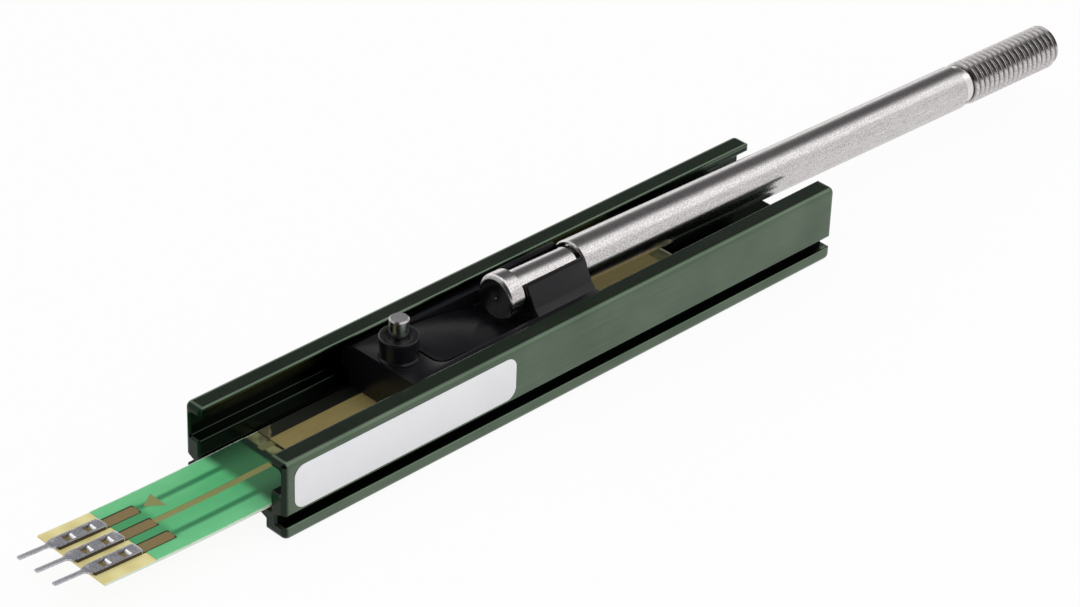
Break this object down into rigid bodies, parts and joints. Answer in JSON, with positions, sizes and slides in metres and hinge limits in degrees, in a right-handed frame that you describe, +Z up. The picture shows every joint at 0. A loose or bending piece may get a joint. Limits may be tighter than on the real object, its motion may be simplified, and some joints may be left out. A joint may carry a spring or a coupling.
{
  "type": "linear transducer",
  "caption": "Linear position transducer: open aluminium channel with a membrane track, a black slider and a threaded pull rod that snaps into the slider.",
  "frame": {"origin": "on the channel's standing plane, midway between its legs, at its tail end", "axes": "+X along the channel towards the rod's threaded end, +Y away from the label, +Z up from the legs"},
  "size_m": [0.1394, 0.0143, 0.0124],
  "materials": {
    "anodised_aluminium": "dark green anodised extrusion, satin, tumbled edges",
    "adhesive_film": "clear transfer adhesive",
    "board_laminate": "pale yellow thin laminate",
    "pad_metal": "brown-gold pads and traces",
    "green_mask": "translucent green solder mask",
    "carbon_print": "printed carbon resistor",
    "spacer_plastic": "spacer film",
    "silver_print": "printed silver collector",
    "brown_film": "brown-gold polyimide film",
    "tinned_contact": "tinned, satin, bright cut edges",
    "label_paper": "plain white type label",
    "black_moulding": "black moulded thermoplastic, slightly glossy",
    "acetal": "smooth natural acetal",
    "ground_steel": "ground steel dowel",
    "stainless_steel": "turned stainless steel, fine ground grain"
  },
  "bodies": {
    "base": {"channel": "anodised_aluminium", "adhesive_strip": "adhesive_film", "circuit_board": "board_laminate", "conductor_1": "pad_metal", "conductor_2": "pad_metal", "conductor_3": "pad_metal", "solder_mask": "green_mask", "resistive_track": "carbon_print", "spacer_film": "spacer_plastic", "collector_strip": "silver_print", "top_film": "brown_film", "contact_1": "tinned_contact", "contact_2": "tinned_contact", "contact_3": "tinned_contact", "label": "label_paper"},
    "carriage": {"slider": "black_moulding", "wiper_tip": "acetal", "drive_pin": "ground_steel"},
    "rod": {"pull_rod": "stainless_steel"}
  },
  "joints": [
    {"name": "carriage_slide", "type": "slide", "parent": "base", "child": "carriage", "axis": [1, 0, 0], "range_m": [-0.0188, 0.0312]},
    {"name": "rod_spin", "type": "hinge", "parent": "carriage", "child": "rod", "pos_m": [0.03285, 0, 0.00926], "axis": [0.9996, 0, -0.029], "continuous": true}
  ]
}
